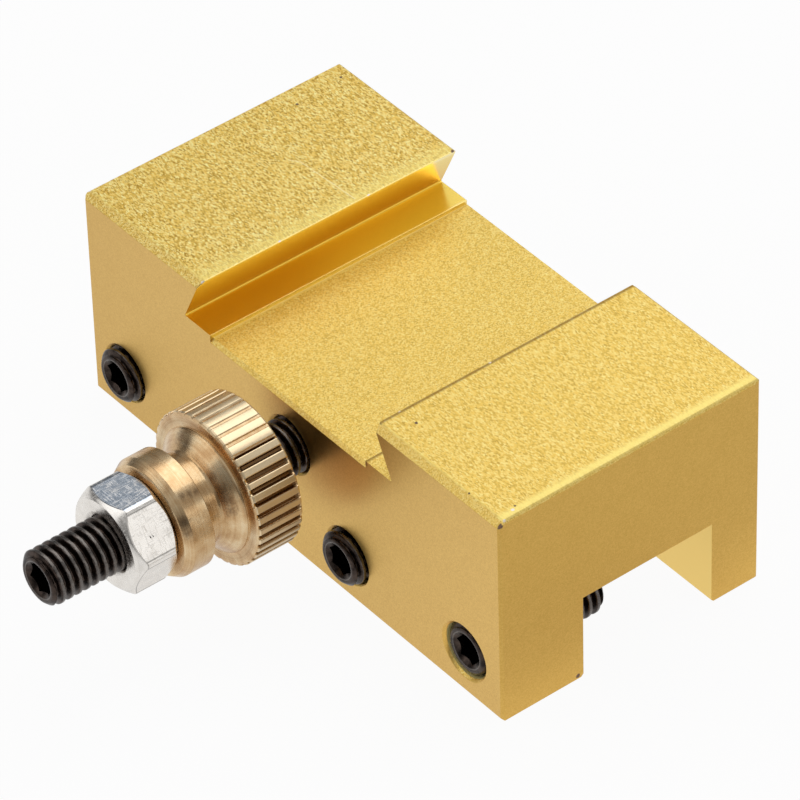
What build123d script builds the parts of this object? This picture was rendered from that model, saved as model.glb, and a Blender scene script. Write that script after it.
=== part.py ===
from build123d import *
import math
import os

# A quick change tool holder, lying with its dovetail groove upwards.
# X runs across the groove, Y along it towards the back, Z up out of it.
# The origin is the middle of the groove's floor. Sizes are in millimetres, angles in degrees.

# Holder body: one block of anodised aluminium
BODY_LENGTH = 64.0
BODY_DEPTH = 32.0
BODY_HEIGHT = 25.0
EDGE_BREAK = 0.3
FRONT_TOP_BREAK = 0.75
FLOOR_BREAK = 0.4

# Dovetail groove in the top, open at the front and the back
MOUTH_WIDTH = 26.9
LEDGE_DROP = 5.5
FLANK_ANGLE = 65.0
FLOOR_WIDTH = 24.0
FLOOR_DROP = 0.5

# Tool slot underneath, open below and at both ends
FRONT_LEG = 10.0
BACK_LEG = 6.0
SLOT_DROP = 10.0

# Threads are plain here: the screws have the crest's width, and the holes are that much wider
THREAD_WIDTH = 5.9
THREAD_CLEARANCE = 0.05
HOLE_MOUTH_BREAK = 0.3

# Hexagon sockets in the ends of the screws
SOCKET_ACROSS = 3.0
SOCKET_DEPTH = 3.0
SOCKET_MOUTH = 4.0
SCREW_END_BREAK = 0.55

# Clamp screws, in an even row through the front leg into the tool slot
CLAMP_LENGTH = 15.0
CLAMP_LEFT = 5.2
CLAMP_RIGHT = 5.6
CLAMP_HEIGHT = 5.1
CLAMP_STAND_OUT = (1.2, 1.2, 1.2, -0.2)
CLAMP_TURN = (45.0, 20.0, 42.0, 50.0)
CUP_WIDTH = 3.0
CUP_DEPTH = 0.6

# Height stud, a long socket set screw in the web above the slot
STUD_REACH = 30.0
STUD_GRIP = 10.0
STUD_HEIGHT = 13.5
STUD_TURN = 20.0
DRILL_SPARE = 1.0
DRILL_POINT = 118.0

# Thumb nut, turned from one brass bar: knurled flange, neck and collar
THUMB_GAP = 4.6
FLANGE_WIDTH = 16.4
FLANGE_THICK = 5.4
FLANGE_BREAK = 0.2
RIM_WIDTH = 13.3
CONE_LENGTH = 1.5
NECK_WIDTH = 9.6
NECK_LENGTH = 2.2
COLLAR_WIDTH = 12.6
COLLAR_THICK = 3.3
COLLAR_BREAK = 0.5
COLLAR_BREAK_LENGTH = 0.85
NUT_MOUTH_BREAK = 0.4

# Straight knurls round the flange; the share is what stays of each pitch as a flat crest
KNURL_COUNT = 40
KNURL_DEPTH = 0.4
KNURL_SHARE = 0.5
KNURL_TURN = 3.2

# Hexagon lock nut in front of the thumb nut, with its corners turned back on both faces
LOCK_ACROSS = 10.0
LOCK_THICK = 5.0
LOCK_TURN = 5.0
LOCK_FACE_WIDTH = 9.5
LOCK_CORNER_ANGLE = 30.0
SEAT_GAP = 0.05

# Levels, faces and radii that follow from the sizes above
TOP_Z = LEDGE_DROP + FLOOR_DROP
BASE_Z = TOP_Z - BODY_HEIGHT
CEILING_Z = BASE_Z + SLOT_DROP
STUD_Z = BASE_Z + STUD_HEIGHT
CLAMP_Z = BASE_Z + CLAMP_HEIGHT
FRONT_Y = -BODY_DEPTH / 2
SLOT_Y = FRONT_Y + FRONT_LEG
SLOT_WIDTH = BODY_DEPTH - FRONT_LEG - BACK_LEG
FLANGE_BACK_Y = FRONT_Y - THUMB_GAP
FLANGE_FRONT_Y = FLANGE_BACK_Y - FLANGE_THICK
NECK_BACK_Y = FLANGE_FRONT_Y - CONE_LENGTH
NECK_FRONT_Y = NECK_BACK_Y - NECK_LENGTH
COLLAR_FRONT_Y = NECK_FRONT_Y - COLLAR_THICK
SCREW_RADIUS = THREAD_WIDTH / 2
HOLE_RADIUS = SCREW_RADIUS + THREAD_CLEARANCE

# Cutters run past the faces that they open by this much, and edges are found to within NEAR
OVERCUT = 1.0
NEAR = 0.01


def turned(points):
    """A turned piece on the Y axis from (distance along Y, radius) points."""
    with BuildPart() as piece:
        with BuildSketch(Plane.YX):
            with BuildLine():
                Polyline(*points, close=True)
            make_face()
        revolve(axis=Axis.Y)
    return piece.part


def hex_bar(front, across, length, turn):
    """A hexagonal bar on the Y axis, with one corner turned from +X towards +Z."""
    outline = Plane.XZ * Rot(0, 0, turn) * RegularPolygon(across / 2, 6, major_radius=False)
    return Pos(0, front, 0) * extrude(outline, length, dir=(0, 1, 0))


def body_section():
    """Outline of the block's end, looking along Y, with the dovetail groove in its top."""
    lip_x = MOUTH_WIDTH / 2
    root_x = lip_x + LEDGE_DROP / math.tan(math.radians(FLANK_ANGLE))
    step_x = FLOOR_WIDTH / 2
    end_x = BODY_LENGTH / 2
    groove = [(step_x, 0), (step_x, FLOOR_DROP), (root_x, FLOOR_DROP), (lip_x, TOP_Z)]
    right = groove + [(end_x, TOP_Z), (end_x, BASE_Z)]
    left = [(-x, z) for x, z in reversed(right)]
    with BuildSketch(Plane.XZ) as section:
        with BuildLine():
            Polyline(*right, *left, close=True)
        make_face()
    return section.sketch


def edges_at(solid, z):
    """The solid's edges that lie at one level."""
    return solid.edges().filter_by_position(Axis.Z, z, z)


def is_outer_corner(edge):
    """True for an upright edge at one of the block's four outer corners."""
    place = edge.center()
    off_end = abs(abs(place.X) - BODY_LENGTH / 2)
    off_face = abs(abs(place.Y) - BODY_DEPTH / 2)
    return off_end < NEAR and off_face < NEAR


def broken_edges(block):
    """The block with its outer edges bevelled, most of all along the front of the two lands."""
    front_lands = edges_at(block, TOP_Z).filter_by(Axis.X).sort_by(Axis.Y)[:2]
    block = chamfer(front_lands, FRONT_TOP_BREAK)
    front_floor = edges_at(block, 0).filter_by(Axis.X).sort_by(Axis.Y)[0]
    block = chamfer(front_floor, FLOOR_BREAK)
    back_lands = edges_at(block, TOP_Z).filter_by(Axis.X).sort_by(Axis.Y)[-2:]
    ends = edges_at(block, TOP_Z).filter_by(Axis.Y).sort_by(Axis.X)
    block = chamfer(back_lands + [ends[0], ends[-1]], EDGE_BREAK)
    corners = [edge for edge in block.edges().filter_by(Axis.Z) if is_outer_corner(edge)]
    block = chamfer(corners, EDGE_BREAK)
    return chamfer(edges_at(block, BASE_Z).filter_by(Axis.X), EDGE_BREAK)


def tapped_hole(depth):
    """Cutter for a hole that opens at y = 0 towards the front, with a broken mouth."""
    mouth = HOLE_RADIUS + HOLE_MOUTH_BREAK
    opening = [(-OVERCUT, 0), (-OVERCUT, mouth), (0, mouth), (HOLE_MOUTH_BREAK, HOLE_RADIUS)]
    return turned(opening + [(depth, HOLE_RADIUS), (depth, 0)])


def drill_point():
    """Cutter for the cone that a drill leaves past y = 0 at the end of a blind hole."""
    tip = HOLE_RADIUS / math.tan(math.radians(DRILL_POINT / 2))
    return turned([(-OVERCUT, 0), (-OVERCUT, HOLE_RADIUS), (0, HOLE_RADIUS), (tip, 0)])


def clamp_place(number, y):
    """A place on the axis of one clamp screw, counted from 0 at the left."""
    last = len(CLAMP_STAND_OUT) - 1
    pitch = (BODY_LENGTH - CLAMP_LEFT - CLAMP_RIGHT) / last
    return Pos(CLAMP_LEFT - BODY_LENGTH / 2 + number * pitch, y, CLAMP_Z)


def holder_body():
    """The block: a groove through the top, a slot below, and its tapped holes."""
    slot_box = (BODY_LENGTH + 2 * OVERCUT, SLOT_WIDTH, SLOT_DROP + OVERCUT)
    slot = Box(*slot_box, align=(Align.CENTER, Align.MIN, Align.MAX))
    block = extrude(body_section(), BODY_DEPTH / 2, both=True) - Pos(0, SLOT_Y, CEILING_Z) * slot
    block = broken_edges(block)
    for number in range(len(CLAMP_STAND_OUT)):
        block -= clamp_place(number, FRONT_Y) * tapped_hole(FRONT_LEG + OVERCUT)
    stud_hole = STUD_GRIP + DRILL_SPARE
    block -= Pos(0, FRONT_Y, STUD_Z) * tapped_hole(stud_hole)
    block -= Pos(0, FRONT_Y + stud_hole, STUD_Z) * drill_point()
    return block


def socket_cutter(turn):
    """Cutter for a hexagon socket that opens at y = 0 towards the front, with a coned mouth."""
    mouth = SOCKET_MOUTH / 2
    cone = turned([(-OVERCUT, 0), (-OVERCUT, mouth), (0, mouth), (mouth, 0)])
    return cone + hex_bar(0, SOCKET_ACROSS, SOCKET_DEPTH, turn)


def set_screw(length, turn):
    """A socket set screw with its socket at y = 0 and its cup point at the back."""
    end_radius = SCREW_RADIUS - SCREW_END_BREAK
    socket_end = [(0, 0), (0, end_radius), (SCREW_END_BREAK, SCREW_RADIUS)]
    point_end = [(length - SCREW_END_BREAK, SCREW_RADIUS), (length, end_radius)]
    cup = [(length, CUP_WIDTH / 2), (length - CUP_DEPTH, 0)]
    return turned(socket_end + point_end + cup) - socket_cutter(turn)


def nut_bore(front, back):
    """Cutter for a nut's bore on the Y axis, with a coned mouth at both faces."""
    mouth = HOLE_RADIUS + NUT_MOUTH_BREAK
    front_mouth = [(front - OVERCUT, 0), (front - OVERCUT, mouth), (front, mouth)]
    bore = [(front + NUT_MOUTH_BREAK, HOLE_RADIUS), (back - NUT_MOUTH_BREAK, HOLE_RADIUS)]
    back_mouth = [(back, mouth), (back + OVERCUT, mouth), (back + OVERCUT, 0)]
    return turned(front_mouth + bore + back_mouth)


def knurl_grooves():
    """Cutter for the V grooves round the flange, which leaves a flat crest between them."""
    crest = FLANGE_WIDTH / 2
    half_gap = math.pi * crest / KNURL_COUNT * (1 - KNURL_SHARE)
    root = (crest - KNURL_DEPTH, 0)
    outer = crest + KNURL_DEPTH
    with BuildSketch(Plane.XZ) as grooves:
        with PolarLocations(0, KNURL_COUNT, start_angle=KNURL_TURN):
            Polygon(root, (outer, -2 * half_gap), (outer, 2 * half_gap), align=None)
    cutter = extrude(grooves.sketch, FLANGE_THICK + OVERCUT, dir=(0, 1, 0))
    return Pos(0, FLANGE_FRONT_Y - OVERCUT / 2, 0) * cutter


def thumb_nut():
    """Knurled flange towards the body, neck, and a bevelled collar in front, bored right through."""
    collar = COLLAR_WIDTH / 2
    collar_edge = COLLAR_FRONT_Y + COLLAR_BREAK_LENGTH
    neck = NECK_WIDTH / 2
    flange = FLANGE_WIDTH / 2
    flange_end = flange - FLANGE_BREAK
    in_front = [(COLLAR_FRONT_Y, 0), (COLLAR_FRONT_Y, collar - COLLAR_BREAK), (collar_edge, collar)]
    middle = [(NECK_FRONT_Y, collar), (NECK_FRONT_Y, neck), (NECK_BACK_Y, neck)]
    cone_end = [(FLANGE_FRONT_Y, RIM_WIDTH / 2)]
    rim_front = [(FLANGE_FRONT_Y, flange_end), (FLANGE_FRONT_Y + FLANGE_BREAK, flange)]
    rim_back = [(FLANGE_BACK_Y - FLANGE_BREAK, flange), (FLANGE_BACK_Y, flange_end), (FLANGE_BACK_Y, 0)]
    blank = turned(in_front + middle + cone_end + rim_front + rim_back)
    nut = blank - nut_bore(COLLAR_FRONT_Y, FLANGE_BACK_Y) - knurl_grooves()
    return Pos(0, 0, STUD_Z) * nut


def lock_nut():
    """Hexagon nut against the thumb nut's collar."""
    back = COLLAR_FRONT_Y - SEAT_GAP
    front = back - LOCK_THICK
    face = LOCK_FACE_WIDTH / 2
    outside = LOCK_ACROSS / math.sqrt(3) + OVERCUT
    slope = (outside - face) * math.tan(math.radians(LOCK_CORNER_ANGLE))
    front_cone = [(front, 0), (front, face), (front + slope, outside)]
    back_cone = [(back - slope, outside), (back, face), (back, 0)]
    nut = hex_bar(front, LOCK_ACROSS, LOCK_THICK, LOCK_TURN) & turned(front_cone + back_cone)
    return Pos(0, 0, STUD_Z) * (nut - nut_bore(front, back))


os.makedirs("parts", exist_ok=True)
export_step(holder_body(), "parts/holder_body.step")
export_step(thumb_nut(), "parts/thumb_nut.step")
export_step(lock_nut(), "parts/lock_nut.step")
stud = set_screw(STUD_REACH + STUD_GRIP, STUD_TURN)
export_step(Pos(0, FRONT_Y - STUD_REACH, STUD_Z) * stud, "parts/height_stud.step")
for number, stand_out in enumerate(CLAMP_STAND_OUT):
    screw = set_screw(CLAMP_LENGTH, CLAMP_TURN[number])
    place = clamp_place(number, FRONT_Y - stand_out)
    export_step(place * screw, f"parts/clamp_screw_{number + 1}.step")
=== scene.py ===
import bmesh
import bpy
import math
import random
from mathutils import Euler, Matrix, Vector


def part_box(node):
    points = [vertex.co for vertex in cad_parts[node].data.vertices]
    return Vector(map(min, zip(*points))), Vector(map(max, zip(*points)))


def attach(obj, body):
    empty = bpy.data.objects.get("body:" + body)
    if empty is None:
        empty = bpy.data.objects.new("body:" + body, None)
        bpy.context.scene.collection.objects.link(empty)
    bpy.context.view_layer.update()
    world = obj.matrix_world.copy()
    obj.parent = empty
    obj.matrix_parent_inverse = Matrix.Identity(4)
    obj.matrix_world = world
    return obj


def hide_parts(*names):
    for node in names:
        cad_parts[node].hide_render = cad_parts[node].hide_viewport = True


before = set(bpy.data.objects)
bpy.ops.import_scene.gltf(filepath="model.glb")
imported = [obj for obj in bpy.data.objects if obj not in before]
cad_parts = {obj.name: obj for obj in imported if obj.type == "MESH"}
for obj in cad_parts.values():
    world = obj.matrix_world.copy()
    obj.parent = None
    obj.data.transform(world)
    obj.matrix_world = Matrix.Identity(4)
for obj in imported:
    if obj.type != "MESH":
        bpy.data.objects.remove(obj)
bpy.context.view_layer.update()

MM = 0.001


# Holder body: one block of aluminium, milled, blasted fine and anodised gold.
# It keeps its own solid. The tool post runs in the dovetail groove on its top, and the tool
# shank lies in the slot between its legs. Its edges were only broken, so they shine.
BODY_LOW, BODY_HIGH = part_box("holder_body")
LAND_Z = BODY_HIGH.z / MM
END_X = BODY_HIGH.x / MM
LIP_X = 13.45
STEP_X = 12.0
GROOVE_REACH = 16.2
FLOOR_REACH = 11.98
# in mm: how deep the lands' finish goes, and how far the flanks' finish stays off floor and lands
LAND_SKIN = 0.15
FLANK_SPARE = 0.03
# heights in mm that hold the groove's floor and ledges: middle and reach
LOW = (0.3, 0.32)
# the clamp screws' holes: height and reach in mm, and how far they stay from the block's ends
HOLE_Z = -13.9
HOLE_REACH = 3.1
HOLE_MARGIN = 2
# soft bands of another tone: middle and reach in mm, along X or Y
FRONT_WALL_LIGHT = (10.0, 0.2)
LIP_LIGHTER = (-13.8, 2.2)
END_LIGHTER = (END_X - 0.65, 0.85)
BREAK_HIGHLIGHT = (BODY_LOW.y / MM + 0.75, 0.14)
LIP_SHADE = (LIP_X + 0.28, 0.3)
STEP_SHADE = (STEP_X + 0.12, 0.36)
ROOT_HIGHLIGHT = (15.8, 0.14)
STEP_HIGHLIGHT = (-STEP_X, 0.34)
# the dark edges at the left and the back
LEFT_EDGE = 0.08 - END_X
BACK_EDGE = 15.92
# how many grains and milling lines lie in a millimetre
GRAIN = 8.0
CELLS = 8.5
DASHES = (3.6, 9.5, 1)
# small nicks worn down to bare metal: place in mm, radius in mm
NICKS = (((-13.45, -15.5, 5.9), 0.34), ((-13.4, 15.8, 6), 0.26), ((31.9, -15.2, 6), 0.22),
         ((31.2, -13.7, 6), 0.20), ((31.9, 3, 6), 0.14), ((13.5, -13, 6), 0.20), ((13.6, -2, 6), 0.16),
         ((-13.5, -6, 6), 0.20), ((-13.5, 5, 6), 0.16), ((-31.9, -15.3, 6), 0.25), ((-24, -15.6, 6), 0.14))
# pits and knocks that hold dirt: place in mm, radius in mm
PITS = (((31.9, -15.95, 5.7), 0.44), ((-29.9, 14.5, 6), 0.15), ((-29.3, 8.5, 6), 0.15),
        ((15.9, -12.8, 6), 0.17), ((26.8, -15.3, 6), 0.13), ((30.9, -13.2, 6), 0.12),
        ((-13.5, 15.6, 6), 0.24), ((32, -6.7, -18.6), 0.26))
# two thin scratches on the left land, as points in mm
SCRATCHES = (((-22.9, 2.4, 6), (-21.9, 3.1, 6), (-20.8, 3.2, 6)),
             ((-20.6, 3.2, 6), (-17.2, 3.4, 6), (-13.9, 3.6, 6)))
SCRATCH_WIDTH = 0.07
# where the noise on a spot's edge starts to count
SPOT_START = -0.6
WELD_REACH = 0.001
FLAT_ANGLE = 0.5
# edges that are rounded: name, width in mm, segments and smallest angle in degrees
ROUNDINGS = (("groove_rounding", 0.16, 5, 100), ("edge_rounding", 0.07, 2, 30))


def linear(code):
    """A colour written as an sRGB hex code, as the linear values that a shader takes."""
    parts = [int(code[place:place + 2], 16) / 255 for place in (1, 3, 5)]
    return [part / 12.92 if part <= 0.04045 else ((part + 0.055) / 1.055) ** 2.4 for part in parts] + [1]


def add(tree, kind, settings, links=None):
    """A new node. Settings are its properties or its inputs' values, and links feed its inputs."""
    node = tree.nodes.new(kind)
    for name, value in settings.items():
        if isinstance(name, str) and hasattr(node, name):
            setattr(node, name, value)
        else:
            node.inputs[name].default_value = value
    for name, source in (links or {}).items():
        tree.links.new(source, node.inputs[name])
    return node


def new_material(name):
    """An empty material with its output, and the place on the object in millimetres."""
    material = bpy.data.materials.new(name)
    material.use_nodes = True
    tree = material.node_tree
    tree.nodes.clear()
    output = add(tree, "ShaderNodeOutputMaterial", {})
    place = add(tree, "ShaderNodeTexCoord", {}).outputs["Object"]
    in_mm = add(tree, "ShaderNodeVectorMath", {"operation": "SCALE", "Scale": 1 / MM}, {0: place})
    return material, tree, output, in_mm.outputs[0]


def tones(tree, source, stops):
    """A colour ramp over a value, from pairs of a position and a colour."""
    ramp = add(tree, "ShaderNodeValToRGB", {}, {0: source})
    while len(ramp.color_ramp.elements) < len(stops):
        ramp.color_ramp.elements.new(0.5)
    for element, (position, colour) in zip(ramp.color_ramp.elements, stops):
        element.position = position
        element.color = linear(colour)
    return ramp.outputs[0]


def spots(tree, place, places, fade):
    """A mask of round spots, from pairs of a place and a radius in mm. Their ragged edges fade inwards."""
    ragged = add(tree, "ShaderNodeTexNoise", {"Scale": 4.0, "Detail": 2.0}, {0: place}).outputs[0]
    mask = None
    for middle, radius in places:
        away = add(tree, "ShaderNodeVectorMath", {"operation": "DISTANCE", 1: middle}, {0: place})
        edge = add(tree, "ShaderNodeMath", {"operation": "MULTIPLY_ADD", 1: -1 / radius},
                   {0: away.outputs["Value"], 2: ragged}).outputs[0]
        near = add(tree, "ShaderNodeMapRange", {"interpolation_type": "SMOOTHSTEP", "From Min": SPOT_START,
                                                "From Max": fade + SPOT_START}, {0: edge}).outputs[0]
        if mask:
            near = add(tree, "ShaderNodeMath", {"operation": "MAXIMUM"}, {0: mask, 1: near}).outputs[0]
        mask = near
    return mask


def band(tree, value, middle, reach):
    """A soft band along a value: 1 at its middle, falling to 0 at its reach on both sides."""
    away = add(tree, "ShaderNodeMath", {"operation": "SUBTRACT", 1: middle}, {0: value}).outputs[0]
    away = add(tree, "ShaderNodeMath", {"operation": "ABSOLUTE"}, {0: away}).outputs[0]
    return add(tree, "ShaderNodeMapRange", {"interpolation_type": "SMOOTHSTEP", "From Min": reach,
                                            "From Max": 0}, {0: away}).outputs[0]


def scratches(tree, place, lines, width):
    """A mask of thin scratches, each a row of points in mm that the line goes through."""
    mask = None
    for start, finish in [pair for line in lines for pair in zip(line, line[1:])]:
        run = Vector(finish) - Vector(start)
        offset = add(tree, "ShaderNodeVectorMath", {"operation": "SUBTRACT", 1: start}, {0: place}).outputs[0]
        share = add(tree, "ShaderNodeVectorMath", {"operation": "DOT_PRODUCT", 1: run / run.length_squared},
                    {0: offset}).outputs["Value"]
        share = add(tree, "ShaderNodeClamp", {}, {0: share}).outputs[0]
        nearest = add(tree, "ShaderNodeVectorMath", {"operation": "SCALE", 0: run},
                      {"Scale": share}).outputs[0]
        away = add(tree, "ShaderNodeVectorMath", {"operation": "DISTANCE"}, {0: offset, 1: nearest})
        drawn = add(tree, "ShaderNodeMapRange", {"From Min": width, "From Max": width / 2},
                    {0: away.outputs["Value"]}).outputs[0]
        if mask:
            drawn = add(tree, "ShaderNodeMath", {"operation": "MAXIMUM"}, {0: mask, 1: drawn}).outputs[0]
        mask = drawn
    return mask


def gold_anodised():
    """Blasted and anodised aluminium: a fine sparkling grain, with milling lines left on the lands."""
    material, tree, output, place = new_material("gold_anodised_aluminium")
    x, y, z = add(tree, "ShaderNodeSeparateXYZ", {}, {0: place}).outputs
    side = add(tree, "ShaderNodeMath", {"operation": "ABSOLUTE"}, {0: x}).outputs[0]
    normal = add(tree, "ShaderNodeTexCoord", {}).outputs["Normal"]
    normal_x, normal_y, normal_z = add(tree, "ShaderNodeSeparateXYZ", {}, {0: normal}).outputs
    top = add(tree, "ShaderNodeMapRange", {"From Min": 0.4, "From Max": 0.8}, {0: normal_z}).outputs[0]
    land = add(tree, "ShaderNodeMath", {"operation": "GREATER_THAN", 1: LAND_Z - LAND_SKIN},
               {0: z}).outputs[0]
    low = add(tree, "ShaderNodeMath", {"operation": "COMPARE", 1: LOW[0], 2: LOW[1]}, {0: z}).outputs[0]
    left = add(tree, "ShaderNodeMath", {"operation": "LESS_THAN", 1: -LIP_X}, {0: x}).outputs[0]
    right = add(tree, "ShaderNodeMath", {"operation": "GREATER_THAN", 1: 0}, {0: x}).outputs[0]
    lengthwise = add(tree, "ShaderNodeMath", {"operation": "COMPARE", 1: 0, 2: 0.4}, {0: normal_y}).outputs[0]

    # the groove's flanks and its left ledge are milled smooth, and its right ledge has the floor's grain
    milled = add(tree, "ShaderNodeMath", {"operation": "COMPARE", 1: (GROOVE_REACH + FLOOR_REACH) / 2,
                                          2: (GROOVE_REACH - FLOOR_REACH) / 2}, {0: side}).outputs[0]
    height = add(tree, "ShaderNodeMath", {"operation": "COMPARE", 1: LAND_Z / 2,
                                          2: LAND_Z / 2 - FLANK_SPARE}, {0: z}).outputs[0]
    for mask in (height, lengthwise):
        milled = add(tree, "ShaderNodeMath", {"operation": "MULTIPLY"}, {0: milled, 1: mask}).outputs[0]
    ledge = add(tree, "ShaderNodeMath", {"operation": "MULTIPLY"}, {0: right, 1: low}).outputs[0]
    milled = add(tree, "ShaderNodeMath", {"operation": "SUBTRACT", "use_clamp": True},
                 {0: milled, 1: ledge}).outputs[0]

    # the grit leaves pits about 0.12 mm wide, with a slower unevenness of 2 mm between them
    grain = add(tree, "ShaderNodeTexNoise", {"Scale": GRAIN, "Detail": 2.0, "Roughness": 0.6},
                {0: place}).outputs[0]
    cells = add(tree, "ShaderNodeTexVoronoi", {"Scale": CELLS}, {0: place}).outputs["Color"]
    mottle = add(tree, "ShaderNodeTexNoise", {"Scale": 0.5, "Detail": 2.0}, {0: place}).outputs[0]
    # short milling lines run along X on the lands, about 0.1 mm apart
    stretched = add(tree, "ShaderNodeVectorMath", {"operation": "MULTIPLY", 1: DASHES}, {0: place}).outputs[0]
    dashes = add(tree, "ShaderNodeTexVoronoi", {"Scale": 1.0}, {0: stretched}).outputs["Color"]
    spark = add(tree, "ShaderNodeMix", {}, {0: land, 2: cells, 3: dashes}).outputs[0]
    # each pit or line is lighter or darker by chance, and more so on the left land
    contrast = add(tree, "ShaderNodeMath", {"operation": "MULTIPLY_ADD", 1: 0.35, 2: 0.56},
                   {0: left}).outputs[0]
    spark = add(tree, "ShaderNodeMath", {"operation": "SUBTRACT", 1: 0.5}, {0: spark}).outputs[0]
    spark = add(tree, "ShaderNodeMath", {"operation": "MULTIPLY_ADD", 2: 0.5},
                {0: spark, 1: contrast}).outputs[0]
    strength = add(tree, "ShaderNodeMapRange", {"To Min": 0.04, "To Max": 0.5}, {0: top}).outputs[0]
    strength = add(tree, "ShaderNodeMix", {3: 0.015}, {0: milled, 2: strength}).outputs[0]
    bump = add(tree, "ShaderNodeBump", {"Distance": 0.05 * MM}, {"Height": grain, "Strength": strength})

    speckled = add(tree, "ShaderNodeMix", {0: 0.75}, {2: mottle, 3: cells}).outputs[0]
    sides = tones(tree, speckled, ((0.15, "#DDB362"), (0.85, "#EDC673")))
    # the end faces are painted a little darker and more orange, a painted shade
    ends = tones(tree, speckled, ((0.15, "#DBAF54"), (0.85, "#EBC065")))
    endwise = add(tree, "ShaderNodeMath", {"operation": "ABSOLUTE"}, {0: normal_x}).outputs[0]
    sides = add(tree, "ShaderNodeMix", {"data_type": "RGBA"}, {0: endwise, 6: sides, 7: ends}).outputs[2]
    # the sides are painted a little darker towards the left as painted shade, and lighter on the slot wall
    # that faces the front as a painted reflection
    darker = add(tree, "ShaderNodeMapRange", {"From Min": 0, "From Max": -END_X, "To Max": 0.22},
                 {0: x}).outputs[0]
    front_wall_light = add(tree, "ShaderNodeMath", {"operation": "SUBTRACT", "use_clamp": True},
                    {0: band(tree, y, *FRONT_WALL_LIGHT), 1: lengthwise}).outputs[0]
    for mask, code in ((darker, "#B08840"), (front_wall_light, "#FFDE84")):
        sides = add(tree, "ShaderNodeMix", {"data_type": "RGBA", 7: linear(code)},
                    {0: mask, 6: sides}).outputs[2]
    tops = tones(tree, spark, ((0.1, "#BE9238"), (0.5, "#F5D36E"), (0.9, "#FFF6B4")))
    colour = add(tree, "ShaderNodeMix", {"data_type": "RGBA"}, {0: top, 6: sides, 7: tops}).outputs[2]
    # the milled faces are painted lighter towards the lands and a little at the root, as painted reflections
    share = add(tree, "ShaderNodeMath", {"operation": "DIVIDE", 1: LAND_Z}, {0: z}).outputs[0]
    flank = tones(tree, share, ((0.08, "#F4D468"), (0.2, "#EAC058"), (0.85, "#F6DA78"), (0.97, "#FFF0B0")))
    colour = add(tree, "ShaderNodeMix", {"data_type": "RGBA"}, {0: milled, 6: colour, 7: flank}).outputs[2]

    # the lands are lighter towards the left lip and along the right end, and the front break's edge carries a
    # painted highlight
    lighter_and_highlight = band(tree, x, *END_LIGHTER)
    for strip, weight in ((band(tree, x, *LIP_LIGHTER), 0.6), (band(tree, y, *BREAK_HIGHLIGHT), 0.5)):
        strip = add(tree, "ShaderNodeMath", {"operation": "MULTIPLY", 1: weight}, {0: strip}).outputs[0]
        lighter_and_highlight = add(tree, "ShaderNodeMath", {"operation": "MAXIMUM"}, {0: lighter_and_highlight, 1: strip}).outputs[0]
    uneven = add(tree, "ShaderNodeMapRange", {"From Min": 0.2, "From Max": 0.7, "To Min": 0.65},
                 {0: grain}).outputs[0]
    for mask in (land, uneven):
        lighter_and_highlight = add(tree, "ShaderNodeMath", {"operation": "MULTIPLY"}, {0: lighter_and_highlight, 1: mask}).outputs[0]

    # the right lip and the step carry painted shade, and the edges at the back and the left are painted dark
    left_edge = add(tree, "ShaderNodeMath", {"operation": "LESS_THAN", 1: LEFT_EDGE}, {0: x}).outputs[0]
    back_edge = add(tree, "ShaderNodeMath", {"operation": "GREATER_THAN", 1: BACK_EDGE}, {0: y}).outputs[0]
    dark = add(tree, "ShaderNodeMath", {"operation": "MAXIMUM"}, {0: left_edge, 1: back_edge}).outputs[0]
    dark = add(tree, "ShaderNodeMath", {"operation": "MULTIPLY"}, {0: dark, 1: land}).outputs[0]
    for strip, mask in ((band(tree, x, *LIP_SHADE), land), (band(tree, x, *STEP_SHADE), low)):
        strip = add(tree, "ShaderNodeMath", {"operation": "MULTIPLY"}, {0: strip, 1: mask}).outputs[0]
        dark = add(tree, "ShaderNodeMath", {"operation": "MAXIMUM"}, {0: dark, 1: strip}).outputs[0]
    dark = add(tree, "ShaderNodeMath", {"operation": "MULTIPLY", 1: 0.7}, {0: dark}).outputs[0]

    # the tap left the walls of the clamp screws' holes rough, and they are painted bright as a painted
    # highlight, as the fourth one shows
    lit_hole_wall = add(tree, "ShaderNodeMath", {"operation": "COMPARE", 1: HOLE_Z, 2: HOLE_REACH}, {0: z}).outputs[0]
    within = add(tree, "ShaderNodeMath", {"operation": "LESS_THAN", 1: END_X - HOLE_MARGIN},
                 {0: side}).outputs[0]
    wall = add(tree, "ShaderNodeMath", {"operation": "COMPARE", 1: 0, 2: 0.3}, {0: normal_y}).outputs[0]
    for mask in (within, wall):
        lit_hole_wall = add(tree, "ShaderNodeMath", {"operation": "MULTIPLY"}, {0: lit_hole_wall, 1: mask}).outputs[0]

    # the groove's root and the left step carry painted highlights, as two thin lines along Y
    root_highlight = add(tree, "ShaderNodeMath", {"operation": "MULTIPLY", 1: 0.7},
               {0: band(tree, side, *ROOT_HIGHLIGHT)}).outputs[0]
    line = add(tree, "ShaderNodeMath", {"operation": "MAXIMUM"},
               {0: root_highlight, 1: band(tree, x, *STEP_HIGHLIGHT)}).outputs[0]
    for mask in (low, lengthwise):
        line = add(tree, "ShaderNodeMath", {"operation": "MULTIPLY"}, {0: line, 1: mask}).outputs[0]

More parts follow.
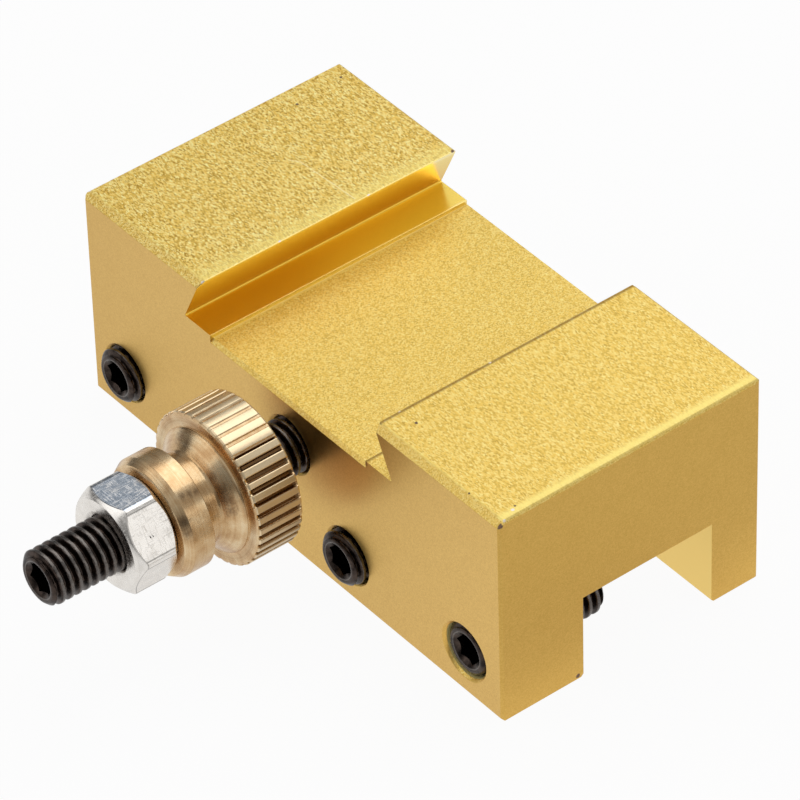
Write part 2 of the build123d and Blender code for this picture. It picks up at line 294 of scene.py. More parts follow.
    layers = ((lighter_and_highlight, "#FFEC92"), (dark, "#80582A"), (lit_hole_wall, "#FFF2B0"), (line, "#FFE490"),
              (scratches(tree, place, SCRATCHES, SCRATCH_WIDTH), "#FFF0B8"),
              (spots(tree, place, NICKS, 0.4), "#F6ECE2"), (spots(tree, place, PITS, 0.3), "#7A6252"))
    for mask, code in layers:
        colour = add(tree, "ShaderNodeMix", {"data_type": "RGBA", 7: linear(code)},
                     {0: mask, 6: colour}).outputs[2]
    rough = add(tree, "ShaderNodeMapRange", {"To Min": 0.36, "To Max": 0.50}, {0: top}).outputs[0]
    for mask, level in ((milled, 0.24), (lit_hole_wall, 0.7)):
        rough = add(tree, "ShaderNodeMix", {3: level}, {0: mask, 2: rough}).outputs[0]
    shader = add(tree, "ShaderNodeBsdfPrincipled", {"Metallic": 1.0},
                 {"Base Color": colour, "Roughness": rough, "Normal": bump.outputs[0]})
    tree.links.new(shader.outputs[0], output.inputs["Surface"])
    return material


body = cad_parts["holder_body"]
body.data.materials.clear()
body.data.materials.append(gold_anodised())
weld = body.modifiers.new("joined_facets", "WELD")
weld.merge_threshold = WELD_REACH * MM
flat = body.modifiers.new("flat_faces", "DECIMATE")
flat.decimate_type = "DISSOLVE"
flat.angle_limit = math.radians(FLAT_ANGLE)
for name, width, segments, angle in ROUNDINGS:
    rounding = body.modifiers.new(name, "BEVEL")
    rounding.width = width * MM
    rounding.segments = segments
    rounding.limit_method = "ANGLE"
    rounding.angle_limit = math.radians(angle)
    rounding.harden_normals = True


# Clamp screws: four M6 socket set screws of black-oxide steel, with a hexagon socket for a key.
# Their threads are rolled, and they go through the front leg to press the tool in its slot.
THREAD_PITCH = 1.0
THREAD_DEPTH = 0.58
THREAD_STEPS = 16
# the thread's flat crest and its flank, as shares of half the pitch
THREAD_CREST = 0.26
THREAD_FLANK = 0.62
AROUND = 72
END_BREAK = 0.55
SOCKET_ACROSS = 3.0
SOCKET_DEPTH = 3.0
SOCKET_TIP = 0.5
SOCKET_TIP_RADIUS = 0.4
SOCKET_MOUTH = 2.0
CUP_RADIUS = 1.5
CUP_DEPTH = 0.6
CUP_BREAK = 0.05
# small breaks on sharp edges: how deep and how wide, in mm
BREAK_DEEP = 0.04
BREAK_WIDE = 0.06
# points closer than this fall together, and faces thinner than this go, in mm
MERGE_REACH = 0.002
THIN_REACH = 0.001
# distances from the axis in mm from which a thread's crest is rubbed, first and in full
CREST_FROM = 2.88
CREST_TO = 2.95
MOUTH_RUBBED = 0.09
CLAMP_TURNS = (45, 20, 42, 50)


def hexagon(across, angle, turn):
    """Distance from a hexagon's middle to its outline in one direction. One corner lies at turn."""
    from_flat = (angle - turn) % math.radians(60) - math.radians(30)
    return across / 2 / math.cos(from_flat)


def thread_depth(turns):
    """How far the thread lies below its crest, as a share of its depth, at a place along the pitch."""
    from_crest = 1 - abs(2 * (turns % 1) - 1)
    share = min(1, max(0, (from_crest - THREAD_CREST) / THREAD_FLANK))
    return share * share * (3 - 2 * share)


def turned_mesh(name, rings, place, closed_ends, sharp_angle):
    """A piece from rings of points round the Y axis, each point given as (along Y, radius, angle) in mm.
    Points that fall together are merged, and each point keeps its distance from the axis."""
    count = len(rings[0])
    points = [(place.x + radius * math.cos(angle) * MM, place.y + along * MM,
               place.z + radius * math.sin(angle) * MM) for ring in rings for along, radius, angle in ring]
    faces = []
    for row in range(len(rings) - 1):
        for step in range(count):
            after = (step + 1) % count
            faces.append((row * count + step, row * count + after, (row + 1) * count + after,
                          (row + 1) * count + step))
    if closed_ends:
        faces.append(tuple(reversed(range(count))))
        faces.append(tuple(range((len(rings) - 1) * count, len(rings) * count)))
    mesh = bpy.data.meshes.new(name)
    mesh.from_pydata(points, [], faces)
    shape = bmesh.new()
    shape.from_mesh(mesh)
    bmesh.ops.remove_doubles(shape, verts=shape.verts, dist=MERGE_REACH * MM)
    bmesh.ops.dissolve_degenerate(shape, edges=shape.edges, dist=THIN_REACH * MM)
    bmesh.ops.recalc_face_normals(shape, faces=shape.faces)
    for face in shape.faces:
        face.smooth = True
    for edge in shape.edges:
        edge.smooth = not edge.is_manifold or edge.calc_face_angle(0) < math.radians(sharp_angle)
    shape.to_mesh(mesh)
    shape.free()
    from_axis = mesh.attributes.new("from_axis", "FLOAT", "POINT")
    for point, value in zip(mesh.vertices, from_axis.data):
        value.value = math.hypot(point.co.x - place.x, point.co.z - place.z) / MM
    piece = bpy.data.objects.new(name, mesh)
    bpy.context.scene.collection.objects.link(piece)
    return piece


def threaded_screw(name, length, turn, crest, place):
    """A set screw from y = 0, its socket end, back to its cup point."""
    angles = [math.tau * step / AROUND for step in range(AROUND)]
    turn = math.radians(turn)
    sides = [hexagon(SOCKET_ACROSS, angle, turn) for angle in angles]
    end_radius = crest - END_BREAK
    rings = [
        [(SOCKET_DEPTH + SOCKET_TIP, SOCKET_TIP_RADIUS, angle) for angle in angles],
        [(SOCKET_DEPTH, side, angle) for side, angle in zip(sides, angles)],
        [(SOCKET_MOUTH - side, side, angle) for side, angle in zip(sides, angles)],
        [(BREAK_DEEP, SOCKET_MOUTH - BREAK_DEEP, angle) for angle in angles],
        [(0.0, SOCKET_MOUTH + BREAK_WIDE, angle) for angle in angles],
        [(0.0, end_radius - BREAK_WIDE, angle) for angle in angles],
        [(BREAK_DEEP, end_radius, angle) for angle in angles],
    ]
    steps = int(length / THREAD_PITCH * THREAD_STEPS)
    for step in range(1, steps):
        along = step / THREAD_STEPS * THREAD_PITCH
        cone = end_radius + min(along, length - along)
        depths = [thread_depth(along / THREAD_PITCH + angle / math.tau) for angle in angles]
        rings.append([(along, min(cone, crest - THREAD_DEPTH * depth), angle)
                      for depth, angle in zip(depths, angles)])
    rings.append([(length, end_radius - CUP_BREAK, angle) for angle in angles])
    rings.append([(length, CUP_RADIUS, angle) for angle in angles])
    rings.append([(length - CUP_DEPTH, 0.1, angle) for angle in angles])
    return turned_mesh(name, rings, place, closed_ends=True, sharp_angle=38)


def black_oxide():
    """Black oxide on rolled steel: a thin satin black skin with a brown cast, rubbed grey on the crests."""
    material, tree, output, place = new_material("black_oxide_steel")
    radius = add(tree, "ShaderNodeAttribute", {"attribute_name": "from_axis"}).outputs["Fac"]
    cloud = add(tree, "ShaderNodeTexNoise", {"Scale": 1.3, "Detail": 3.0}, {0: place}).outputs[0]
    fine = add(tree, "ShaderNodeTexNoise", {"Scale": 7.0, "Detail": 2.0}, {0: place}).outputs[0]
    skin = tones(tree, cloud, ((0.35, "#2A2422"), (0.70, "#52463F")))
    # the threads' crests and the socket's mouth are rubbed
    rubbed = add(tree, "ShaderNodeMapRange", {"From Min": CREST_FROM, "From Max": CREST_TO, "To Max": 0.8},
                 {0: radius}).outputs[0]
    rubbed = add(tree, "ShaderNodeMath", {"operation": "MAXIMUM"},
                 {0: rubbed, 1: band(tree, radius, SOCKET_MOUTH, MOUTH_RUBBED)}).outputs[0]
    rubbed = add(tree, "ShaderNodeMath", {"operation": "MULTIPLY"}, {0: rubbed, 1: fine}).outputs[0]
    colour = add(tree, "ShaderNodeMix", {"data_type": "RGBA", 7: linear("#8E8A86")}, {0: rubbed, 6: skin})
    rough = add(tree, "ShaderNodeMapRange", {"To Min": 0.18, "To Max": 0.40}, {0: fine})
    bump = add(tree, "ShaderNodeBump", {"Distance": 0.02 * MM, "Strength": 0.3}, {"Height": fine})
    shader = add(tree, "ShaderNodeBsdfPrincipled", {"Metallic": 1.0},
                 {"Base Color": colour.outputs[2], "Roughness": rough.outputs[0], "Normal": bump.outputs[0]})
    tree.links.new(shader.outputs[0], output.inputs["Surface"])
    return material


oxide = black_oxide()
for number, turn in enumerate(CLAMP_TURNS, start=1):
    low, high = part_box(f"clamp_screw_{number}")
    middle = (low + high) / 2
    screw = threaded_screw(f"clamp_set_screw_{number}", (high.y - low.y) / MM, turn,
                           (high.x - low.x) / 2 / MM, Vector((middle.x, low.y, middle.z)))
    screw.data.materials.append(oxide)
    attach(screw, f"clamp_{number}")
    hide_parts(f"clamp_screw_{number}")


# Height stud: a long M6 socket set screw, screwed fast in the middle of the front face.
# The thumb nut and the lock nut run on its thread, and its socket faces the user.
STUD_TURN = 20
low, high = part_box("height_stud")
STUD_X = (low.x + high.x) / 2
STUD_Z = (low.z + high.z) / 2
stud = threaded_screw("threaded_height_stud", (high.y - low.y) / MM, STUD_TURN,
                      (high.x - low.x) / 2 / MM, Vector((STUD_X, low.y, STUD_Z)))
stud.data.materials.append(oxide)
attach(stud, "holder")
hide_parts("height_stud")


# Thumb nut: turned from one brass bar, with a straight-knurled flange that rests on the tool post.
# Fingers turn it to set the height. The knurls' crests are worn bright, their grooves are painted dark,
# partly grime and partly painted shade, and the lower knurls carry painted shade.
KNURLS = 40
KNURL_DEPTH = 0.4
KNURL_TURN = 3.2
# one knurl from groove to groove: places along its pitch, and how deep each lies
KNURL_PLACES = (-0.5, -0.40, -0.33, -0.28, -0.22, 0, 0.22, 0.28, 0.33, 0.40)
KNURL_DEPTHS = (1.0, 0.96, 0.62, 0.12, 0.0, 0.0, 0.0, 0.12, 0.62, 0.96)
# angles, in degrees from +X towards +Z, between which the knurls are rubbed down
RUBBED_FROM = 54
RUBBED_TO = 128
# each knurl differs by chance: its groove's depth where rubbed, its width, and its wear in mm
KNURL_SEED = 5
RUBBED_CUT = (0.3, 0.5)
RUBBED_WIDTH = (1.12, 1.2)
KNURL_WIDTH = (0.8, 1.05)
KNURL_WEAR = 0.03
low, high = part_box("thumb_nut")
THUMB_FRONT = low.y / MM
THUMB_LENGTH = (high.y - low.y) / MM
FLANGE = (high.x - low.x) / 2 / MM
FLANGE_LENGTH = 5.4
FLANGE_FRONT = THUMB_LENGTH - FLANGE_LENGTH
NECK_BACK = FLANGE_FRONT - 1.5
NECK_FRONT = NECK_BACK - 2.2
COLLAR = 6.3
NECK = 4.8
RIM = 6.65
HOLLOW = 0.5
HOLLOW_TURNS = [math.radians(turn) for turn in range(0, 53, 13)]
SHOULDER = 0.35
SHOULDER_TURNS = [math.radians(turn) for turn in range(38, 91, 13)]
BORE = 3.0
MOUTH = 3.4
# each end of the bore: distance from the end face and radius, in mm
BORE_END = ((1.2, BORE), (0.4, BORE), (0.05, MOUTH - 0.05), (0, MOUTH + 0.05))
# each edge of the flange: distance from its face, depth below its crests, and share of the knurls' depth
RUN_OUT = ((0, 0.40, 0), (0.03, 0.28, 0.1), (0.12, 0.10, 0.3), (0.28, 0, 0.65), (0.55, 0, 1))
# the nut's outline, as (along Y, radius, share of the knurls' depth)
THUMB_PROFILE = (
    *[(along, radius, 0) for along, radius in BORE_END],
    (0, COLLAR - 0.58, 0), (0.07, COLLAR - 0.46, 0), (0.82, COLLAR - 0.02, 0), (0.90, COLLAR, 0),
    (NECK_FRONT - 0.10, COLLAR, 0), (NECK_FRONT - 0.02, COLLAR - 0.06, 0), (NECK_FRONT, COLLAR - 0.14, 0),
    (NECK_FRONT, NECK + 0.3, 0), (NECK_FRONT + 0.05, NECK + 0.12, 0), (NECK_FRONT + 0.14, NECK + 0.03, 0),
    (NECK_FRONT + 0.3, NECK, 0),
    # a small hollow runs from the neck into the cone, and the cone ends in a round shoulder
    *[(NECK_BACK - 0.4 + HOLLOW * math.sin(turn), NECK + HOLLOW * (1 - math.cos(turn)), 0)
      for turn in HOLLOW_TURNS],
    *[(FLANGE_FRONT - 0.04 - SHOULDER * math.cos(turn), RIM - SHOULDER + SHOULDER * math.sin(turn), 0)
      for turn in SHOULDER_TURNS],
    (FLANGE_FRONT - 0.02, RIM, 0), (FLANGE_FRONT, RIM + 0.04, 0),
    # the knurls run out a little before both faces of the flange
    *[(FLANGE_FRONT + along, FLANGE - lower, share) for along, lower, share in RUN_OUT],
    *[(THUMB_LENGTH - along, FLANGE - lower, share) for along, lower, share in reversed(RUN_OUT)],
    *[(THUMB_LENGTH - along, radius, 0) for along, radius in reversed(BORE_END)],
)
# soft rings of another tone: distance from the axis and reach, in mm; round the flange's face it is painted
# shade
NECK_BROWN_RING = (NECK, 0.9)
FLANGE_SHADE_RING = (7.25, 0.6)
# heights in mm below which painted shade darkens the knurls, first and in full
LOW_SHADE_FROM = -1.4
LOW_SHADE_TO = -4.0
# how far the knurls' grooves reach inwards, and along Y from the flange's middle, in mm
GROOVE_INNER = 0.45
GROOVE_ALONG = 2.44
# dark smoky patches, painted shade where the brass reflects its dark surroundings: along Y from the collar's
# front, angle, distance from the axis, radius
SHADE_PATCHES = ((6.5, 117, 5.9, 1.3), (6.2, 104, 5.4, 1.0), (5.8, 56, 5.0, 0.8), (6.0, 40, 5.2, 1.0),
          (6.1, 27, 5.4, 1.2), (6.2, 16, 5.4, 1.0), (1.4, 52, 6.3, 0.6), (2.2, 51, 6.3, 0.6),
          (2.9, 50, 6.3, 0.5), (0.5, 31, 6.1, 0.8), (0.5, 20, 6.1, 0.8), (0.4, 148, 6.1, 0.9))


def round_stud(along, angle, radius):
    """A place on the thumb nut in mm, from its distance along Y, its angle in degrees and its radius."""
    angle = math.radians(angle)
    return (STUD_X / MM + radius * math.cos(angle), THUMB_FRONT + along,
            STUD_Z / MM + radius * math.sin(angle))


def turned_brass():
    """Turned brass: fine rings round the axis from the tool, softened by handling, dark in the grooves."""
    material, tree, output, place = new_material("turned_brass")
    radius = add(tree, "ShaderNodeAttribute", {"attribute_name": "from_axis"}).outputs["Fac"]
    y, z = add(tree, "ShaderNodeSeparateXYZ", {}, {0: place}).outputs[1:]
    # turning marks are 0.05 mm apart; they are drawn about four times as coarse, so that they show
    profile = add(tree, "ShaderNodeCombineXYZ", {}, {0: radius, 1: y}).outputs[0]
    rings = add(tree, "ShaderNodeTexNoise", {"Scale": 5.0, "Detail": 3.0, "Roughness": 0.7},
                {0: profile}).outputs[0]
    cloud = add(tree, "ShaderNodeTexNoise", {"Scale": 0.45, "Detail": 3.0, "Roughness": 0.6},
                {0: place}).outputs[0]
    speck = add(tree, "ShaderNodeTexNoise", {"Scale": 4.0, "Detail": 3.0}, {0: place}).outputs[0]
    mixed = add(tree, "ShaderNodeMath", {"operation": "MULTIPLY_ADD", 1: 0.5},
                {0: rings, 2: cloud}).outputs[0]
    colour = tones(tree, mixed, ((0.55, "#BE986C"), (0.75, "#D8B88C"), (0.95, "#E8D0A8")))
    # the neck's groove is painted browner, and the side that faces right is painted darker as painted shade
    normal = add(tree, "ShaderNodeTexCoord", {}).outputs["Normal"]
    normal_x = add(tree, "ShaderNodeSeparateXYZ", {}, {0: normal}).outputs["X"]
    right = add(tree, "ShaderNodeMapRange", {"interpolation_type": "SMOOTHSTEP", "From Min": 0.75,
                                             "From Max": 0.97}, {0: normal_x}).outputs[0]
    neck_brown_and_shade = add(tree, "ShaderNodeMath", {"operation": "MAXIMUM"},
               {0: band(tree, radius, *NECK_BROWN_RING), 1: right}).outputs[0]
    neck_brown_and_shade = add(tree, "ShaderNodeMath", {"operation": "MULTIPLY", 1: 0.3}, {0: neck_brown_and_shade}).outputs[0]
    # the flange's face round the rim is painted darker as painted shade, and fingers have polished the
    # knurls' crests
    flange_face_shade = add(tree, "ShaderNodeMath", {"operation": "MULTIPLY", 1: 0.25},
                {0: band(tree, radius, *FLANGE_SHADE_RING)}).outputs[0]
    crest = add(tree, "ShaderNodeMapRange", {"From Min": FLANGE - 0.16, "From Max": FLANGE - 0.02,
                                             "To Max": 0.8}, {0: radius}).outputs[0]
    # painted shade in dark smoky patches on the cone and the collar
    patch_places = [(round_stud(along, angle, away), size) for along, angle, away, size in SHADE_PATCHES]
    patch_shade = add(tree, "ShaderNodeMath", {"operation": "MULTIPLY", 1: 0.6},
                  {0: spots(tree, place, patch_places, 1.1)}).outputs[0]
    # the knurls' grooves are painted dark, partly grime and partly painted shade, and painted shade darkens
    # the lower knurls all over. Only the knurls are so far from the axis and so near the flange's middle
    groove_grime_and_shade = add(tree, "ShaderNodeMapRange", {"From Min": FLANGE - 0.10, "From Max": FLANGE - 0.26,
                                             "To Max": 0.9}, {0: radius}).outputs[0]
    lower_knurl_shade = add(tree, "ShaderNodeMapRange", {"interpolation_type": "SMOOTHSTEP", "From Min": LOW_SHADE_FROM,
                                             "From Max": LOW_SHADE_TO, "To Max": 0.3}, {0: z}).outputs[0]
    groove_grime_and_shade = add(tree, "ShaderNodeMath", {"operation": "MAXIMUM"}, {0: groove_grime_and_shade, 1: lower_knurl_shade}).outputs[0]
    knurled = add(tree, "ShaderNodeMath", {"operation": "GREATER_THAN", 1: FLANGE - GROOVE_INNER},
                  {0: radius}).outputs[0]
    flange_middle = THUMB_FRONT + THUMB_LENGTH - FLANGE_LENGTH / 2
    inside = add(tree, "ShaderNodeMath", {"operation": "COMPARE", 1: flange_middle, 2: GROOVE_ALONG},
                 {0: y}).outputs[0]
    for mask in (inside, knurled):
        groove_grime_and_shade = add(tree, "ShaderNodeMath", {"operation": "MULTIPLY"}, {0: groove_grime_and_shade, 1: mask}).outputs[0]
    layers = ((neck_brown_and_shade, "#A87E4A"), (flange_face_shade, "#8E7450"), (crest, "#F8E4BE"), (patch_shade, "#5A4230"),
              (groove_grime_and_shade, "#644322"))
    for mask, code in layers:
        colour = add(tree, "ShaderNodeMix", {"data_type": "RGBA", 7: linear(code)},
                     {0: mask, 6: colour}).outputs[2]
    relief = add(tree, "ShaderNodeMath", {"operation": "MULTIPLY_ADD", 1: 0.35},
                 {0: speck, 2: rings}).outputs[0]
    bump = add(tree, "ShaderNodeBump", {"Distance": 0.03 * MM, "Strength": 0.3}, {"Height": relief})
    rough = add(tree, "ShaderNodeMapRange", {"To Min": 0.20, "To Max": 0.34}, {0: speck}).outputs[0]
    rough = add(tree, "ShaderNodeMix", {3: 0.42}, {0: crest, 2: rough})
    # the rings spread a reflection along the nut and keep it narrow round it
    round_axis = add(tree, "ShaderNodeTangent", {"direction_type": "RADIAL", "axis": "Y"})
    shader = add(tree, "ShaderNodeBsdfPrincipled",
                 {"Metallic": 1.0, "Anisotropic": 0.5, "Anisotropic Rotation": 0.25},
                 {"Base Color": colour, "Roughness": rough.outputs[0], "Normal": bump.outputs[0],
                  "Tangent": round_axis.outputs[0]})
    tree.links.new(shader.outputs[0], output.inputs["Surface"])
    return material


def thumb_nut():
    """The turned profile, with a groove cut between two knurls as deep as each profile point says."""
    chance = random.Random(KNURL_SEED)
    crests = []
    for number in range(KNURLS):
        angle = KNURL_TURN + 360 * (number + 0.5) / KNURLS
        rubbed = RUBBED_FROM < angle < RUBBED_TO
        cut = KNURL_DEPTH * (chance.uniform(*RUBBED_CUT) if rubbed else 1)
        width = chance.uniform(*RUBBED_WIDTH) if rubbed else chance.uniform(*KNURL_WIDTH)
        crests.append((width, chance.uniform(0, KNURL_WEAR), cut))
    rings = []
    for along, radius, knurled in THUMB_PROFILE:
        ring = []
        for number, (width, wear, cut) in enumerate(crests):
            for place, depth in zip(KNURL_PLACES, KNURL_DEPTHS):
                spread = place if depth > 0.9 else place * width
                angle = math.radians(KNURL_TURN) + math.tau * (number + 0.5 + spread) / KNURLS
                ring.append((along, radius - knurled * (cut * depth + (wear if depth < 0.5 else 0)), angle))
        rings.append(ring)
    return turned_mesh("knurled_thumb_nut", rings, Vector((STUD_X, low.y, STUD_Z)),
                       closed_ends=False, sharp_angle=13)


thumb = thumb_nut()
thumb.data.materials.append(turned_brass())
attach(thumb, "thumb")
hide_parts("thumb_nut")


# Lock nut: an ordinary hexagon nut of zinc-plated steel, run up against the thumb nut to hold it.
# Its corners are turned back on both faces, and its plating is scratched from spanners.
NUT_ACROSS = 10.0
NUT_TURN = 5
NUT_FACE = 4.75
NUT_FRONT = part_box("lock_nut")[0].y / MM
NUT_SLOPE = math.tan(math.radians(42))
NUT_CORNER = 5.66
# angles in degrees of the outline's points, from one corner to the next
NUT_STEPS = (-0.9, 0, 0.9) + tuple(range(3, 60, 3))
# each end of the nut from its bore to its face: distance from the end and radius, in mm
NUT_END = ((1.0, BORE), (0.4, BORE), (0.03, MOUTH - 0.03), (0, MOUTH + 0.04), (0, NUT_FACE - 0.05))
# dark lines on the nut: middle and reach in mm, behind the cone and at the corners
CONE_DARK_LINE = (0.1, 0.09)
CORNER_DARK_LINE = (NUT_CORNER - 0.1, 0.06)
FLAT_START = 0.05
# short marks from a spanner on the right-hand flat, as points in mm
SPANNER_MARKS = (((4.1, -36.2, -2.2), (4.25, -36.1, -2.7)), ((4.2, -35.9, -2.4), (4.35, -35.8, -3.0)),
                 ((4.25, -35.6, -2.7), (4.4, -35.5, -3.0)))
MARK_WIDTH = 0.09


def zinc_plate():
    """Bright zinc plate: a bluish white metal, dulled in patches and finely scratched both ways."""
    material, tree, output, place = new_material("zinc_plated_steel")
    cloud = add(tree, "ShaderNodeTexNoise", {"Scale": 0.7, "Detail": 4.0, "Roughness": 0.6},
                {0: place}).outputs[0]
    scratched = []
    for stretch in ((6.0, 0.9, 6.0), (1.2, 6.0, 1.2)):
        drawn = add(tree, "ShaderNodeVectorMath", {"operation": "MULTIPLY", 1: stretch},
                    {0: place}).outputs[0]
        noise = add(tree, "ShaderNodeTexNoise", {"Scale": 1.0, "Detail": 3.0}, {0: drawn})
        scratched.append(noise.outputs[0])
    woven = add(tree, "ShaderNodeMath", {"operation": "MAXIMUM"},
                {0: scratched[0], 1: scratched[1]}).outputs[0]
    mixed = add(tree, "ShaderNodeMath", {"operation": "MULTIPLY_ADD", 1: 0.5},
                {0: cloud, 2: woven}).outputs[0]
    # the upper flat is painted bluer and darker, a painted reflection of the room above
    normal = add(tree, "ShaderNodeTexCoord", {}).outputs["Normal"]
    normal_z = add(tree, "ShaderNodeSeparateXYZ", {}, {0: normal}).outputs["Z"]
    upper = add(tree, "ShaderNodeMapRange", {"From Min": 0.90, "From Max": 0.99}, {0: normal_z}).outputs[0]
    plain = tones(tree, mixed, ((0.60, "#E4DFD8"), (0.95, "#F8F4EE")))
    upper_reflection = tones(tree, mixed, ((0.60, "#A8B6C6"), (0.78, "#D0DAE6"), (0.94, "#FFFFFF")))
    colour = add(tree, "ShaderNodeMix", {"data_type": "RGBA"}, {0: upper, 6: plain, 7: upper_reflection}).outputs[2]
    # dark lines are painted along each flat, just behind the front cone and on both sides of the corners
    radius = add(tree, "ShaderNodeAttribute", {"attribute_name": "from_axis"}).outputs["Fac"]
    y = add(tree, "ShaderNodeSeparateXYZ", {}, {0: place}).outputs["Y"]
    behind = add(tree, "ShaderNodeMath", {"operation": "MULTIPLY_ADD", 1: -NUT_SLOPE,
                                          2: NUT_FACE * NUT_SLOPE - NUT_FRONT}, {0: radius}).outputs[0]
    behind = add(tree, "ShaderNodeMath", {"operation": "ADD"}, {0: behind, 1: y}).outputs[0]
    outer = add(tree, "ShaderNodeMath", {"operation": "GREATER_THAN", 1: NUT_ACROSS / 2 - 0.03},
                {0: radius}).outputs[0]
    flat = add(tree, "ShaderNodeMath", {"operation": "GREATER_THAN", 1: FLAT_START}, {0: behind}).outputs[0]
    corner = add(tree, "ShaderNodeMath", {"operation": "MULTIPLY"},
                 {0: band(tree, radius, *CORNER_DARK_LINE), 1: flat}).outputs[0]
    outline = add(tree, "ShaderNodeMath", {"operation": "MAXIMUM"},
                  {0: band(tree, behind, *CONE_DARK_LINE), 1: corner}).outputs[0]
    outline = add(tree, "ShaderNodeMath", {"operation": "MULTIPLY"}, {0: outline, 1: outer}).outputs[0]
    outline = add(tree, "ShaderNodeMath", {"operation": "MULTIPLY", 1: 0.7}, {0: outline}).outputs[0]
    for mask in (outline, scratches(tree, place, SPANNER_MARKS, MARK_WIDTH)):
        colour = add(tree, "ShaderNodeMix", {"data_type": "RGBA", 7: linear("#55524E")},
                     {0: mask, 6: colour}).outputs[2]
    rough = add(tree, "ShaderNodeMapRange", {"From Min": 0.5, "From Max": 0.75, "To Min": 0.22,
                                             "To Max": 0.48}, {0: woven})
    bump = add(tree, "ShaderNodeBump", {"Distance": 0.02 * MM, "Strength": 0.15}, {"Height": woven})
    shader = add(tree, "ShaderNodeBsdfPrincipled", {"Metallic": 1.0},
                 {"Base Color": colour, "Roughness": rough.outputs[0], "Normal": bump.outputs[0]})
    tree.links.new(shader.outputs[0], output.inputs["Surface"])
    return material


def lock_nut():
    """A hexagon between two faces, each coned back so that its corners are curved."""
    low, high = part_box("lock_nut")
    length = (high.y - low.y) / MM
    turn = math.radians(NUT_TURN)
    angles = [turn + math.radians(corner * 60 + step) for corner in range(6) for step in NUT_STEPS]
    sides = [min(hexagon(NUT_ACROSS, angle, turn), NUT_CORNER) for angle in angles]
    slopes = [max(0, side - NUT_FACE) * NUT_SLOPE for side in sides]
    outline = list(zip(sides, slopes, angles))
    front = [[(along, radius, angle) for angle in angles] for along, radius in NUT_END]
    front.append([(max(0, slope - BREAK_DEEP), side - BREAK_WIDE, angle) for side, slope, angle in outline])
    front.append([(slope + BREAK_DEEP, side, angle) for side, slope, angle in outline])
    back = [[(length - along, radius, angle) for along, radius, angle in ring] for ring in reversed(front)]
    return turned_mesh("hexagon_lock_nut", front + back, Vector((STUD_X, low.y, STUD_Z)),
                       closed_ends=False, sharp_angle=25)


nut = lock_nut()
nut.data.materials.append(zinc_plate())
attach(nut, "lock")
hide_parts("lock_nut")


# Floor: a white table, which fades into a white background and keeps a soft shadow.
# Its glow is what the camera and the reflections see of it, and it lights nothing else.
TABLE_REACH = 1.6
TABLE_GLOW_SEEN = 0.95
TABLE_GLOW_LEFT = 0.72
TABLE_GLOW_RIGHT = 0.28
# the glow falls from left to right between these places, in mm
TABLE_FADE_FROM = END_X - 1
TABLE_FADE_TO = END_X + 9


def white_table():
    """White card: mostly even white to the camera and partly in reflections, so a soft shadow stays."""
    material, tree, output, place = new_material("white_table")
    card = add(tree, "ShaderNodeBsdfDiffuse", {"Color": linear("#F4F4F4")})
    glow = add(tree, "ShaderNodeEmission", {"Color": linear("#FFFFFF"), "Strength": 1.0})
    path = add(tree, "ShaderNodeLightPath", {})
    # the table is lighter up to the holder's right end, and past that it fades
    across = add(tree, "ShaderNodeSeparateXYZ", {}, {0: place}).outputs["X"]
    lighter = add(tree, "ShaderNodeMapRange", {"interpolation_type": "SMOOTHSTEP",
                                               "From Min": TABLE_FADE_FROM, "From Max": TABLE_FADE_TO,
                                               "To Min": TABLE_GLOW_LEFT, "To Max": TABLE_GLOW_RIGHT},
                  {0: across}).outputs[0]
    mirrored = add(tree, "ShaderNodeMath", {"operation": "ADD", "use_clamp": True},
                   {0: path.outputs["Is Glossy Ray"], 1: path.outputs["Is Transmission Ray"]}).outputs[0]
    mirrored = add(tree, "ShaderNodeMath", {"operation": "MULTIPLY"}, {0: mirrored, 1: lighter}).outputs[0]
    share = add(tree, "ShaderNodeMath", {"operation": "MULTIPLY_ADD", 1: TABLE_GLOW_SEEN},
                {0: path.outputs["Is Camera Ray"], 2: mirrored}).outputs[0]
    mix = add(tree, "ShaderNodeMixShader", {}, {0: share, 1: card.outputs[0], 2: glow.outputs[0]})
    tree.links.new(mix.outputs[0], output.inputs["Surface"])
    return material


corners = [(-TABLE_REACH, -TABLE_REACH), (TABLE_REACH, -TABLE_REACH), (TABLE_REACH, TABLE_REACH),
           (-TABLE_REACH, TABLE_REACH)]
table_mesh = bpy.data.meshes.new("table")
table_mesh.from_pydata([(x, y, BODY_LOW.z) for x, y in corners], [], [(0, 1, 2, 3)])
table = bpy.data.objects.new("table", table_mesh)
bpy.context.scene.collection.objects.link(table)
table.data.materials.append(white_table())


# Light: a plain soft studio in a dim white room, with soft lamps high behind the left, low
# behind the right and at the front left.
ROOM_LEVEL = 0.3
# what reflections add to that level near the horizon and overhead
ROOM_HORIZON = -0.16
ROOM_OVERHEAD = 0.2


def soft_lamp(name, towards, distance, size, level):
    """A square soft lamp that faces the object. Level is how bright its surface looks."""
    lamp = bpy.data.lights.new(name, "AREA")
    lamp.size = size
    lamp.energy = level * math.pi * size * size
    stand = bpy.data.objects.new(name, lamp)
    stand.location = Vector(towards).normalized() * distance
    stand.rotation_euler = (-stand.location).to_track_quat("-Z", "Y").to_euler()
    stand.visible_camera = False
    bpy.context.scene.collection.objects.link(stand)


soft_lamp("lamp_high", towards=(-0.15, 0.45, 0.88), distance=0.45, size=0.44, level=1.28)
soft_lamp("lamp_low", towards=(0.86, 0.46, 0.20), distance=0.9, size=0.6, level=0.9)
soft_lamp("lamp_front", towards=(-0.42, -0.72, 0.55), distance=0.9, size=0.7, level=0.9)

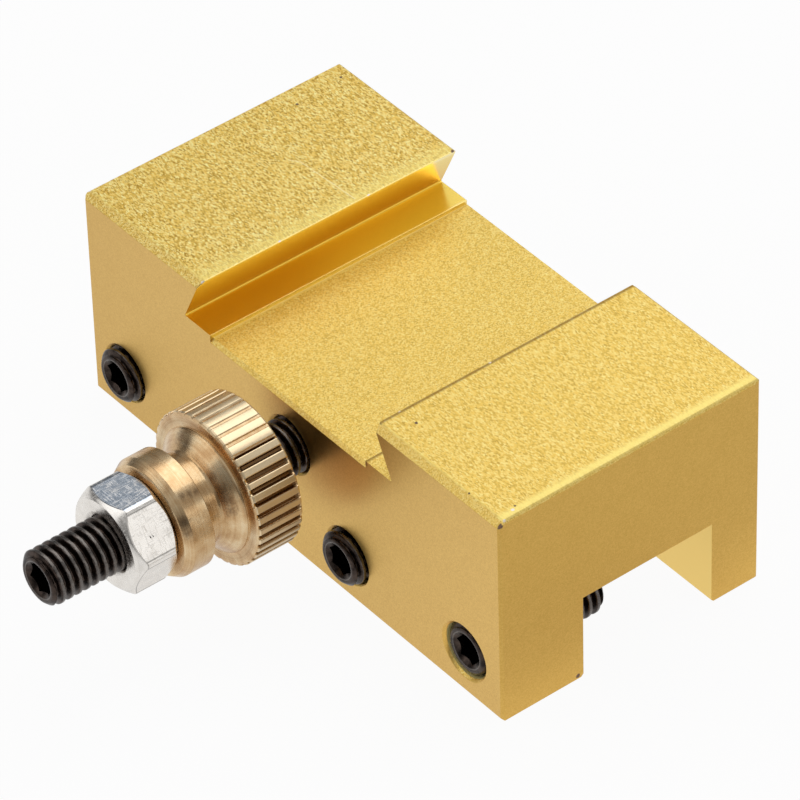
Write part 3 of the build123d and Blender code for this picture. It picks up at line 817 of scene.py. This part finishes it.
room = bpy.data.worlds.new("white_room")
bpy.context.scene.world = room
room.use_nodes = True
tree = room.node_tree
tree.nodes.clear()
path = add(tree, "ShaderNodeLightPath", {})
mirrored = add(tree, "ShaderNodeMath", {"operation": "ADD", "use_clamp": True},
               {0: path.outputs["Is Glossy Ray"], 1: path.outputs["Is Transmission Ray"]}).outputs[0]
# in reflections the room is dark round the horizon and lighter overhead
direction = add(tree, "ShaderNodeTexCoord", {}).outputs["Generated"]
upward = add(tree, "ShaderNodeSeparateXYZ", {}, {0: direction}).outputs["Z"]
overhead = add(tree, "ShaderNodeMapRange", {"interpolation_type": "SMOOTHSTEP", "From Min": 0.1,
                                            "From Max": 0.75, "To Min": ROOM_HORIZON,
                                            "To Max": ROOM_OVERHEAD}, {0: upward}).outputs[0]
mirrored = add(tree, "ShaderNodeMath", {"operation": "MULTIPLY_ADD", 2: ROOM_LEVEL},
               {0: mirrored, 1: overhead}).outputs[0]
strength = add(tree, "ShaderNodeMath", {"operation": "MAXIMUM"},
               {0: path.outputs["Is Camera Ray"], 1: mirrored}).outputs[0]
air = add(tree, "ShaderNodeBackground", {"Color": linear("#FFFFFF")}, {"Strength": strength})
add(tree, "ShaderNodeOutputWorld", {}, {"Surface": air.outputs[0]})


# Camera: a long lens from the front right above, where the photograph was taken from.
# Its place, its turn and its lens were solved from the block's straight edges in the photograph.
CAMERA_PLACE = Vector((393.95, -306.22, 420.18)) * MM
CAMERA_AZIMUTH = math.radians(52.257)
CAMERA_ELEVATION = math.radians(40.820)
CAMERA_ROLL = math.radians(-1.696)
camera_data = bpy.data.cameras.new("camera")
camera_data.lens = 304.0
camera_data.sensor_width = 36.0
camera_data.shift_x = -0.0118
camera_data.shift_y = 0.0207
camera_data.clip_end = 10
camera = bpy.data.objects.new("camera", camera_data)
looking = Vector((-math.sin(CAMERA_AZIMUTH) * math.cos(CAMERA_ELEVATION),
                  math.cos(CAMERA_AZIMUTH) * math.cos(CAMERA_ELEVATION), -math.sin(CAMERA_ELEVATION)))
roll = Euler((0, 0, CAMERA_ROLL)).to_quaternion()
camera.rotation_mode = "QUATERNION"
camera.rotation_quaternion = looking.to_track_quat("-Z", "Y") @ roll
camera.location = CAMERA_PLACE
bpy.context.scene.collection.objects.link(camera)
bpy.context.scene.camera = camera
bpy.context.scene.view_settings.view_transform = "Standard"
